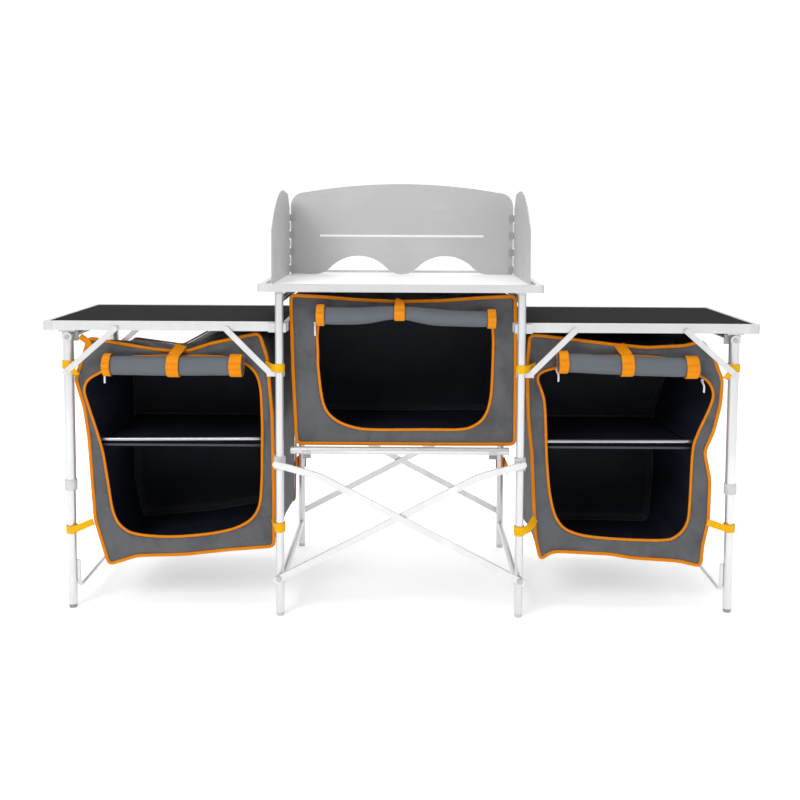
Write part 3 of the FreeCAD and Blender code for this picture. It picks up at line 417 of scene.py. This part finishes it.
def cupboard_rows(edge, mouth, rear, front_y, rear_y, dips, seed, columns=300, held_z=None):
    """Rows of a hanging cupboard's cloth: mouth, front panel, four walls and back.

    edge, mouth and rear are closed x, z outlines in millimetres, all the same way round.
    dips is a list of (x, z, reach, depth): places where the walls are pulled inwards, and
    held_z is the height where a shelf holds the cloth out. Gives the rows and the point that
    closes them in metres, and the indices of the front and rear edges' rows."""
    def held(z):
        return 0.0 if held_z is None else math.exp(-((z - held_z) / HELD_REACH) ** 2)

    outline = evenly(soften(straight(edge), 6), columns)
    centre = outline.mean(0)
    away = outline - centre
    angles = np.arctan2(away[:, 1], away[:, 0])
    inner = at_angles(dense(mouth), centre, angles)
    behind = at_angles(soften(straight(rear), 6), centre, angles)
    outward = away / np.linalg.norm(away, axis=1, keepdims=True)
    rows = []
    for t in np.linspace(0, 1, FRONT_ROWS + 1):
        flat = inner + (outline - inner) * t
        bow = [front_y - 3.5 * math.sin(math.pi * t) * (0.6 + ripple((*p, 0), 60, seed))
               + (7.0 * ripple((*p, 0), 48, seed + 5) + 3.4 * ripple((*p, 0), 19, seed + 9))
               * math.sin(math.pi * t) for p in flat]
        rows.append(np.stack([flat[:, 0], bow, flat[:, 1]], 1))
    for t in np.arange(1, WALL_ROWS + 1) / WALL_ROWS:
        ring = outline + (behind - outline) * t
        slack = math.sin(math.pi * min(t, 1))
        push = np.array([
            slack * (-5 + 6 * ripple((*p, t * 300), 110, seed + 2)
                     + 2 * ripple((*p, t * 300), 36, seed + 3))
            - sum(depth * slack * math.exp(-((p[0] - x) ** 2 + (p[1] - z) ** 2) / reach ** 2)
                  for x, z, reach, depth in dips)
            for p in ring])
        push *= np.array([1 - 0.65 * held(p[1]) for p in ring])
        ring = ring + outward * push[:, None]
        rows.append(np.stack([ring[:, 0], np.full(columns, front_y + (rear_y - front_y) * t),
                              ring[:, 1]], 1))
    last = rows[-1][:, (0, 2)]
    middle = last.mean(0)
    for t in np.linspace(0, 1, BACK_ROWS)[1:-1]:
        flat = last + (middle - last) * t
        bow = [rear_y - 7 * math.sin(math.pi * t / 2) * (1 + 1.5 * ripple((*p, 9), 120, seed + 7))
               * (1 - 0.9 * held(p[1])) for p in flat]
        rows.append(np.stack([flat[:, 0], bow, flat[:, 1]], 1))
    cap = np.array([middle[0], rows[-1][:, 1].mean(), middle[1]])
    return np.array(rows) * MM, cap * MM, (FRONT_ROWS, FRONT_ROWS + WALL_ROWS)


def shell(name, rows, cap, ends, top_z):
    """The cupboard's cloth with its dark lining. The roof above top_z is dark on both faces: on its
    outer face the dark lining cloth is painted shade, where the table top shades it.
    """
    low, high = rows[:, :, 0].min(1), rows[:, :, 0].max(1)

    def pick(i, j):
        # painted shade: away from the side walls, the roof's outer face under the table top takes the
        # dark lining cloth
        inside = abs(rows[i, j, 0] - (low[i] + high[i]) / 2) < (high[i] - low[i]) / 2 - ROOF_SHADE_EDGE
        roof = rows[i, j, 2] > top_z and inside and i >= ends[0]
        return 1 if roof or i >= ends[1] else 0
    item = grid(name, rows, [MATS["cupboard_cloth"], LINING_AND_ROOF_SHADE], pick=pick, cap=cap)
    return thicken(item, CLOTH_THICK, 1)


def edging(name, ring, width=0.0075, depth=0.0042, forward=0.0012, outward=0.0, material=PIPING):
    """Bound edge along a closed ring of the cloth, moved forward or away from its middle."""
    ring = soften(np.array(ring), 2)
    away = ring - ring.mean(0)
    away[:, 1] = 0
    away /= np.linalg.norm(away, axis=1, keepdims=True)
    path = ring + away * outward + np.array([0, -forward, 0])
    return band(name, path, width, depth, material, (0, -1, 0), closed=True, power=0.8)


def seam_edges(name, rows, ends):
    """The orange binding of the mouth and of the front and rear edges, and the inner seam tape."""
    binding = join(name + "_edging", [
        edging("mouth_edge", rows[0], 0.0068), edging("front_edge", rows[ends[0]], 0.0085, 0.005),
        edging("rear_edge", rows[ends[1]], 0.005, 0.006, -0.001, 0.0035)])
    tape = edging(name + "_seam_tape", rows[ends[1] - 1], 0.004, 0.006, 0.0, -0.0028, TAPE)
    return binding, tape


def stitches(name, ring, inset, centre, forward=0.0008):
    """A row of stitches beside an edge, towards the middle of the ring."""
    ring = np.array(ring)
    toward = centre - ring
    toward[:, 1] = 0
    toward /= np.linalg.norm(toward, axis=1, keepdims=True)
    path = evenly(ring + toward * inset + np.array([0, -forward, 0]), 2 * (len(ring) // 3))
    pieces = [band("stitch", path[i:i + 2], 0.0009, 0.0005, MATS["cupboard_cloth"], (0, -1, 0), sides=6)
              for i in range(0, len(path) - 1, 2)]
    return join(name, pieces)


def rolled_door(name, ends, centre, radius, length, lumps=0.0, seed=1.0, thin=None):
    """A door panel wound into a spiral; ends are its x limits, centre(t) its y and z, and
    thin(t) how much thinner it is wound there."""
    turns = length / (math.pi * (radius + DOOR_CORE))
    steps, across = int(turns * 36), 30
    rows = []
    for t in np.linspace(0, 1, across):
        x = ends[0] + (ends[1] - ends[0]) * t
        y, z = centre(t)
        edge = min(t, 1 - t) * 2
        ring = []
        for s in np.linspace(0, 1, steps):
            a = (s - 1) * turns * 2 * math.pi - 0.5
            r = DOOR_CORE + (radius - DOOR_CORE) * s
            r *= 1 + lumps * ripple((x * 1000, a * 14, 0), 60, seed) - lumps * 0.6 * (1 - edge) ** 6
            r *= 1 if thin is None else thin(t)
            ring.append((x, y + r * math.cos(a), z + r * math.sin(a)))
        rows.append(ring)
    item = grid(name, rows, [MATS["door_cloth"]], closed=False)
    return thicken(item, DOOR_THICK, 0, 0.0)


def round_strap(name, x, y, z, radius, width, material, tail=None, lean=0.0):
    """A strap round a rolled door, with an optional tail up to its fixing."""
    turn = np.linspace(0, 2 * math.pi, 49)[:-1]
    path = [(x + lean * math.sin(a), y + (radius + STRAP_GAP) * math.cos(a),
             z + (radius + STRAP_GAP) * math.sin(a)) for a in turn]
    facing = [(0, math.cos(a), math.sin(a)) for a in turn]
    pieces = [band(name, path, width, STRAP_THICK, material, facing, closed=True)]
    if tail is not None:
        line = dense([(x, y - radius * 0.2, z + radius * 1.02), *tail], closed=False, per=10)
        pieces.append(band(name + "_tail", line, width * 0.92, STRAP_THICK, material, (0, -1, 0.6)))
    keeper = [(x, y - radius - 0.0028, z - 0.006), (x, y - radius - 0.0028, z + 0.008)]
    pieces.append(band(name + "_keeper", keeper, width, 0.0022, material, (0, -1, 0)))
    return join(name, pieces)


def leg_loop(name, x, y, z, radius, height, tongue, material):
    """Webbing round a leg, with a tongue that runs to the cupboard's edge."""
    turn = np.linspace(0, 2 * math.pi, 41)[:-1]
    path = [(x + (radius + LOOP_GAP) * math.cos(a), y + (radius + LOOP_GAP) * math.sin(a), z)
            for a in turn]
    facing = [(math.cos(a), math.sin(a), 0) for a in turn]
    pieces = [band(name, path, height, STRAP_THICK, material, facing, closed=True)]
    if tongue:
        start = np.array([x, y - radius - 0.002, z])
        line = dense([start, *[np.array(p) for p in tongue]], closed=False, per=8)
        pieces.append(band(name + "_tongue", line, height * 0.85, STRAP_THICK, material, (0, -1, 0)))
    return join(name, pieces)


def zip_pull(name, x, y, z, lean=0.0):
    """A slider with its cord pull hanging from it."""
    slider = band(name + "_slider", [(x, y, z + 0.004), (x, y - 0.001, z - 0.004)], 0.007, 0.0035,
                  MATS["steel"], (0, -1, 0), sides=16)
    line = dense([(x, y - 0.002, z - 0.004), (x + lean, y - 0.004, z - 0.014),
                  (x + lean, y - 0.004, z - 0.03)], closed=False, per=8)
    return join(name, [slider, band(name + "_cord", line, 0.0045, 0.003, WHITE, (0, -1, 0))])


SHELF_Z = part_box("left_cupboard_shelf")[0].z + 0.0035
WALL_GAP = 0.004


def wall_span(rows, ends, z):
    """Depths along the cupboard, and the x of its two side walls there, at height z."""
    spans = []
    for row in rows[ends[0]:ends[1] + 1]:
        high = row[:, 2] > z
        walls = row[high != np.roll(high, -1), 0]
        spans.append((row[:, 1].mean(), walls.min(), walls.max()))
    return np.array(spans).T


def shelf(name, xs, ys, z, tilt, spans):
    """Shelf cloth with a bound front edge, a bare rod over it and a rod in a sleeve behind.

    xs is its widest reach; spans, from wall_span, keep it inside the walls."""
    near, far = ys

    def reach(y):
        return (max(xs[0], np.interp(y, spans[0], spans[1]) + WALL_GAP),
                min(xs[1], np.interp(y, spans[0], spans[2]) - WALL_GAP))
    rows = []
    for t in np.linspace(0, 1, 16):
        y = near + (far - near) * t
        low, high = reach(y)
        rows.append([(low + (high - low) * s, y,
                      SHELF_Z - 0.004 * math.sin(math.pi * s) * math.sin(math.pi * t)
                      + 0.0015 * ripple((s * 90, t * 80, 0), 22, 3)) for s in np.linspace(0, 1, 30)])
    cloth = thicken(grid(name + "_cloth", rows, [LINING_AND_ROOF_SHADE], closed=False), SHELF_THICK, 0, 0.0)
    line = evenly([(xs[0], near, z), (xs[1], near, z + tilt)], 14, closed=False)
    rods = [band(name + "_rod", line, 0.0085, 0.0085, MATS["steel"], (0, 0, 1), sides=20, power=1.0)]
    for y, height, width, depth in ((near, SHELF_Z, 0.003, 0.006),
                                    (far, SHELF_Z + 0.004, 0.009, 0.008)):
        low, high = reach(y)
        line = evenly([(low + 0.006, y, height), (high - 0.006, y, height)], 14, closed=False)
        rods.append(band(name + "_hem", line, width, depth, TAPE, (0, 0, 1), power=0.8))
    return cloth, join(name + "_rods", rods)


SIDES = {
    "left": {
        "side": -1,
        "edge": [(-763, 672), (-677, 657), (-600, 644), (-545, 640), (-518, 641), (-462, 660),
                 (-345, 686), (-326, 628), (-314, 480), (-311, 300), (-311, 154), (-420, 145),
                 (-531, 132), (-651, 128), (-722, 105), (-754, 219), (-766, 424), (-776, 500),
                 (-796, 571), (-772, 640)],
        "mouth": [(-730, 590), (-764, 570), (-776, 544), (-768, 509), (-736, 403), (-723, 326),
                  (-709, 237), (-684, 197), (-642, 181), (-553, 177), (-446, 189), (-382, 211),
                  (-350, 247), (-341, 307), (-339, 400), (-339, 479), (-345, 564), (-372, 606),
                  (-430, 626), (-550, 628), (-680, 622)],
        "rear": [(-757, 620), (-615, 600), (-575, 622), (-535, 645), (-480, 684), (-306, 684),
                 (-302, 300), (-304, 156), (-420, 150), (-535, 128), (-650, 118), (-735, 112),
                 (-757, 219)],
        "dips": [(-318, 430, 75, 16), (-760, 420, 90, 14)],
        "roll": ((-0.717, 0.6105), (-0.381, 0.6105)),
        "straps": ((-0.707, 0.019), (-0.547, 0.03), (-0.396, 0.03)),
        "shelf": (-0.752, -0.33, 0.4175, 0.004),
        "pulls": ((-0.722, 0.592, 0.0),),
        "low": (0.198, 0.219),
        "low_tongues": (((-0.792, -0.214, 0.203), (-0.757, -0.199, 0.215)),
                        ((-0.302, -0.244, 0.219), (-0.313, -0.205, 0.216))),
        "seed": 3.1,
    },
    "right": {
        "side": 1,
        "edge": [(315, 685), (347, 683), (520, 662), (600, 655), (690, 660), (735, 672), (762, 636),
                 (786, 575), (783, 516), (768, 449), (747, 399), (762, 330), (761, 227), (748, 159),
                 (745, 111), (689, 124), (574, 131), (521, 140), (394, 146), (372, 143), (349, 124),
                 (336, 180), (331, 259), (324, 391), (314, 481), (310, 600)],
        "mouth": [(383, 606), (347, 594), (335, 575), (353, 518), (361, 372), (372, 277),
                  (393, 219), (433, 192), (512, 180), (644, 176), (684, 187), (708, 218),
                  (714, 262), (718, 394), (728, 439), (758, 510), (765, 543), (752, 572),
                  (724, 590), (650, 628), (500, 634), (430, 630)],
        "rear": [(332, 684), (470, 688), (620, 688), (757, 684), (752, 560), (714, 430), (710, 220),
                 (703, 106), (650, 106), (535, 106), (450, 107), (342, 118)],
        "dips": [(318, 430, 75, 10), (755, 410, 80, 20)],
        "roll": ((0.382, 0.6235), (0.719, 0.6115)),
        "straps": ((0.392, 0.023), (0.545, 0.03), (0.7, 0.03)),
        "shelf": (0.338, 0.73, 0.419, 0.002),
        "pulls": ((0.381, 0.602, 0.004), (0.735, 0.577, 0.004)),
        "low": (0.212, 0.214),
        "low_tongues": (((0.789, -0.214, 0.216), (0.757, -0.199, 0.224)),
                        ((0.312, -0.24, 0.218), (0.334, -0.202, 0.232))),
        "seed": 8.4,
    },
}
FRONT_Y, REAR_Y = -194.0, 171.0
ROLL_Y = (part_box("left_door_roll")[0].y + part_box("left_door_roll")[1].y) / 2
FOLDED_Z, FOLDED_SHARE = 0.655, 0.06
SIDE_ROLL_RADIUS, SIDE_DOOR_LENGTH = 0.0245, 0.42
MIDDLE_ROLL_RADIUS, MIDDLE_DOOR_LENGTH = 0.0228, 0.36
# heights above which a cupboard's roof gets the dark lining cloth as painted shade on its outer face
SIDE_ROOF_Z, MIDDLE_ROOF_Z = 0.62, 0.75
HIGH_LOOP_Z, LOOP_FIT, LOOP_HEIGHT = 0.608, 0.0005, 0.02
OUTER_RADIUS = (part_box("left_outer_upper_legs")[1].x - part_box("left_outer_upper_legs")[0].x) / 2
LOWER_RADIUS = (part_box("left_outer_lower_legs")[1].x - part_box("left_outer_lower_legs")[0].x) / 2


def fold_up(item, word, slot=None):
    """Side cloth rides on its side's frame."""
    return hold(item, word + "_frame",
                FOLDED_SHARE, slot)


def side_cupboard(word):
    """Everything of cloth under one side table."""
    d = SIDES[word]
    side = d["side"]
    rows, cap, ends = cupboard_rows(d["edge"], d["mouth"], d["rear"], FRONT_Y, REAR_Y, d["dips"],
                                    d["seed"], held_z=d["shelf"][2] / MM)
    cloth = shell(word + "_cupboard_cloth", rows, cap, ends, SIDE_ROOF_Z)
    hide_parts(word + "_cupboard")
    edges, tape = seam_edges(word + "_cupboard", rows, ends)
    fold_up(tape, word, "cupboard_cloth")
    seams = stitches(word + "_cupboard_stitches", rows[0][::2], STITCH_INSET, rows[ends[0]].mean(0),
                     0.0042)
    fold_up(cloth, word, "cupboard_cloth")
    fold_up(edges, word, "webbing")
    fold_up(seams, word, "cupboard_cloth")

    (x0, z0), (x1, z1) = d["roll"]

    def centre(t):
        return ROLL_Y, z0 + (z1 - z0) * t - 0.0015 * math.sin(math.pi * t)
    roll = rolled_door(word + "_door_cloth", (x0, x1), centre, SIDE_ROLL_RADIUS, SIDE_DOOR_LENGTH,
                       0.035, d["seed"])
    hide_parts(word + "_door_roll")
    fold_up(roll, word, "door_cloth")
    straps = []
    for index, (x, width) in enumerate(d["straps"]):
        t = (x - x0) / (x1 - x0)
        y, z = centre(t)
        tail = None
        if index == 1:
            lean = -0.006 * side
            tail = [(x + lean, y + 0.012, z + SIDE_ROLL_RADIUS + 0.012),
                    (x + 2 * lean, y + 0.03, z + 0.046)]
        straps.append(round_strap("%s_roll_strap_%d" % (word, index), x, y, z,
                                  SIDE_ROLL_RADIUS + STRAP_GAP, width, MATS["webbing"], tail))
    straps = join(word + "_roll_straps", straps)
    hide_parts(word + "_cupboard_straps")
    fold_up(straps, word, "webbing")

    loops = []
    outer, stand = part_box(word + "_outer_upper_legs"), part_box(word + "_front_leg")
    outer_x, stand_x = (outer[0].x + outer[1].x) / 2, (stand[0].x + stand[1].x) / 2
    high_r, stand_r = OUTER_RADIUS + LOOP_FIT, (stand[1].x - stand[0].x) / 2 + LOOP_FIT
    low_r = LOWER_RADIUS + LOOP_FIT
    outer_y = outer[0].y + OUTER_RADIUS
    stand_y = (stand[0].y + stand[1].y) / 2
    low, low_z = d["low_tongues"], d["low"]
    for name, x, y, z, loop_r, height, tongue in (
            ("high_outer", outer_x, outer_y, HIGH_LOOP_Z, high_r, LOOP_HEIGHT,
             [(side * 0.8, -0.216, 0.598), tuple(Vector((side * 0.792, -0.2, 0.58)))]),
            ("low_outer", outer_x, outer_y, low_z[0], low_r, LOOP_HEIGHT, low[0]),
            ("high_stand", stand_x, stand_y, HIGH_LOOP_Z, stand_r, LOOP_HEIGHT,
             [(side * 0.306, -0.232, 0.607), (side * 0.33, -0.198, 0.61)]),
            ("low_stand", stand_x, stand_y, low_z[1], stand_r, 0.023, low[1])):
        loops.append(leg_loop("%s_%s" % (word, name), x, y, z, loop_r, height, tongue, BRIGHT))
    rear_y = outer[1].y - OUTER_RADIUS
    for z, radius in ((0.6, high_r), (0.215, low_r)):
        loops.append(leg_loop("rear_outer", outer_x, rear_y, z, radius, 0.019,
                              [(side * 0.79, rear_y - 0.012, z), (side * 0.762, rear_y - 0.008, z)],
                              MATS["webbing"]))
    # Behind the stand's rear leg a strap runs round its far side and back to the cupboard.
    for z, height in ((0.6, 0.018), (0.25, 0.034)):
        corner = (side * 0.3035, REAR_Y * MM - 0.002, z)
        turn = np.linspace(math.pi, 0, 15)
        reach = stand_r + LOOP_GAP
        path = [corner] + [(stand_x + side * -math.cos(a) * reach, -stand_y + math.sin(a) * reach, z)
                           for a in turn] + [(corner[0] - side * 0.012, corner[1], z)]
        path = path[:-1] if z < 0.5 else path
        facing = [(side, 0, 0)] + [(side * -math.cos(a), math.sin(a), 0) for a in turn] \
            + [(-side, 0, 0)] * (len(path) - 16)
        loops.append(band("rear_stand", path, height, STRAP_THICK, MATS["webbing"], facing))
    if word == "left":
        tab = dense([(-0.783, -0.196, 0.676), (-0.763, -0.1975, 0.66), (-0.757, -0.1985, 0.637)],
                    closed=False, per=8)
        loops.append(band("left_corner_tab", tab, 0.015, STRAP_THICK, MATS["webbing"], (0, -1, 0)))
    loops = join(word + "_leg_loops", loops)
    fold_up(loops, word, "webbing")

    xa, xb, z, tilt = d["shelf"]
    cloth, rods = shelf(word + "_shelf", (xa, xb), (FRONT_Y * MM + 0.0115, REAR_Y * MM - 0.011), z,
                        tilt, wall_span(rows, ends, SHELF_Z))
    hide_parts(word + "_cupboard_shelf")
    fold_up(cloth, word, "cupboard_cloth")
    fold_up(rods, word, "steel")
    for index, (x, z, lean) in enumerate(d["pulls"]):
        fold_up(zip_pull("%s_zip_pull_%d" % (word, index), x, FRONT_Y * MM - 0.006, z, lean), word,
                "steel")


def bar_clips():
    """Small clips round both floor bars that hold the middle cupboard's floor."""
    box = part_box("support_bars")
    z, radius = (box[0].z + box[1].z) / 2, 0.009
    clips = []
    turn = np.linspace(-math.pi, 0, 19)
    for x in (-0.227, 0.227):
        for y in (box[0].y + radius, box[1].y - radius):
            path = [(x, y + (radius + STRAP_GAP) * math.cos(a), z + (radius + STRAP_GAP) * math.sin(a))
                    for a in turn]
            facing = [(0, math.cos(a), math.sin(a)) for a in turn]
            clips.append(band("clip", path, 0.02, 0.0016, MATS["grey_plastic"], facing))
            lug = [(x, y, z - radius - 0.001), (x, y, z - radius - 0.011)]
            clips.append(band("lug", lug, 0.02, 0.004, MATS["dark_plastic"], (0, -1, 0)))
    return join("middle_bar_clips", clips)


def middle_cupboard():
    """Everything of cloth under the cooking top."""
    edge = [(-267, 780), (-180, 775), (-100, 769), (0, 765), (100, 768), (190, 775), (278, 780),
            (281, 600), (281, 416), (150, 415), (0, 415), (-150, 415), (-253, 415), (-262, 600)]
    mouth = [(-202, 690), (-201, 640), (-200, 597), (-187, 511), (-158, 474), (-112, 455), (-60, 450),
             (60, 451), (150, 452), (186, 464), (209, 488), (221, 530), (225, 600), (225, 690),
             (212, 722), (150, 735), (0, 738), (-130, 735), (-190, 722)]
    rear = [(-266, 778), (0, 776), (266, 778), (268, 600), (266, 418), (0, 414), (-264, 418),
            (-268, 600)]
    rows, cap, ends = cupboard_rows(edge, mouth, rear, -200.0, 198.0, [], 5.7)
    cloth = shell("middle_cupboard_cloth", rows, cap, ends, MIDDLE_ROOF_Z)
    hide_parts("middle_cupboard")
    edges, tape = seam_edges("middle_cupboard", rows, ends)
    seams = stitches("middle_cupboard_stitches", rows[0][::2], STITCH_INSET, rows[ends[0]].mean(0),
                     0.0042)
    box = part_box("middle_door_roll")
    y = (box[0].y + box[1].y) / 2
    ends_x = (-0.203, 0.229)

    def centre(t):
        return y, 0.7345 - 0.0075 * t + 0.0105 * math.exp(-((t - 0.46) / 0.16) ** 2)

    def thin(t):
        return 1 - 0.12 * t - 0.2 * math.exp(-((t - 0.46) / 0.13) ** 2)
    roll = rolled_door("middle_door_cloth", ends_x, centre, MIDDLE_ROLL_RADIUS, MIDDLE_DOOR_LENGTH,
                       0.06, 2.2, thin)
    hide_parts("middle_door_roll")
    straps = []
    for index, (x, width) in enumerate(((-0.1915, 0.019), (-0.002, 0.025), (0.2185, 0.02))):
        t = (x - ends_x[0]) / (ends_x[1] - ends_x[0])
        sy, sz = centre(t)
        tail = [(x, sy + 0.012, sz + 0.026), (x + 0.004, sy + 0.026, 0.769)] if index == 1 else None
        straps.append(round_strap("middle_roll_strap_%d" % index, x, sy, sz,
                                  MIDDLE_ROLL_RADIUS * thin(t) + STRAP_GAP, width,
                                  MATS["webbing"], tail))
    straps = join("middle_straps", straps)
    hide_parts("middle_roll_straps")
    pull = zip_pull("middle_zip_pull", -0.207, -0.206, 0.712)
    for item, slot in ((cloth, "cupboard_cloth"), (edges, "webbing"), (seams, "cupboard_cloth"),
                       (tape, "cupboard_cloth"), (bar_clips(), "grey_plastic"),
                       (roll, "door_cloth"), (straps, "webbing"), (pull, "steel")):
        hold(item, "left_frame", 0.5, slot)


side_cupboard("left")
side_cupboard("right")
middle_cupboard()


# ------------------------------------------------------------- stage and camera

def stage():
    """A pale seamless floor, a plain world and three soft lights."""
    bend = [(4 + 3 * math.sin(a), 3 - 3 * math.cos(a)) for a in np.linspace(0, math.pi / 2, 24)]
    line = [(-30.0, 0.0), (-10.0, 0.0), *bend, (7.0, 12.0)]
    rows = [[(x, y, z - 0.0005) for x in np.linspace(-14, 14, 15)] for y, z in line]
    paper = Nodes("studio_paper", (0.93, 0.93, 0.93), 0.9, Emission_Strength=0.42)
    paper.shader.inputs["Emission Color"].default_value = (1, 1, 1, 1)
    place = paper.coordinates("Object")
    paper.paint("Base Color", paper.mix(paper.noise(place, 3, 2), (0.92, 0.92, 0.92),
                                        (0.94, 0.94, 0.94)))
    floor = grid("studio_floor", rows, [paper.material], closed=False)
    world = bpy.data.worlds.new("studio")
    world.use_nodes = True
    world.node_tree.nodes["Background"].inputs["Color"].default_value = (1, 1, 1, 1)
    world.node_tree.nodes["Background"].inputs["Strength"].default_value = 0.36
    bpy.context.scene.world = world
    for name, place, target, size, power in (
            ("key", (-2.2, -3.4, 3.4), (0, 0, 0.5), 2.2, 95),
            ("fill", (3.0, -3.0, 2.4), (0, 0, 0.5), 3.0, 26),
            ("top", (0, 0.3, 4.2), (0, 0, 0.4), 3.0, 80)):
        lamp = bpy.data.lights.new(name, "AREA")
        lamp.size, lamp.energy = size, power
        item = bpy.data.objects.new(name, lamp)
        item.location = place
        item.rotation_euler = (Vector(target) - Vector(place)).to_track_quat("-Z", "Y").to_euler()
        bpy.context.collection.objects.link(item)


def camera():
    """The camera stands in front, a little above the cooking top, and looks slightly down."""
    yaw, pitch, roll = -0.0077, 0.0689, 0.0043
    ahead = Vector((math.cos(pitch) * math.sin(yaw), math.cos(pitch) * math.cos(yaw), -math.sin(pitch)))
    right = Vector((math.cos(yaw), -math.sin(yaw), 0))
    up = right.cross(ahead)
    right, up = (math.cos(roll) * right + math.sin(roll) * up,
                 math.cos(roll) * up - math.sin(roll) * right)
    data = bpy.data.cameras.new("camera")
    data.sensor_width, data.lens, data.shift_y = 36, 43.29, -0.16
    data.clip_start, data.clip_end = 0.05, 60
    item = bpy.data.objects.new("camera", data)
    item.matrix_world = (Matrix.Translation((0.0162, -2.525, 0.9977))
                         @ Matrix((right, up, -ahead)).transposed().to_4x4())
    bpy.context.collection.objects.link(item)
    bpy.context.scene.camera = item


stage()
camera()
view = bpy.context.scene.view_settings
view.view_transform = "Standard"
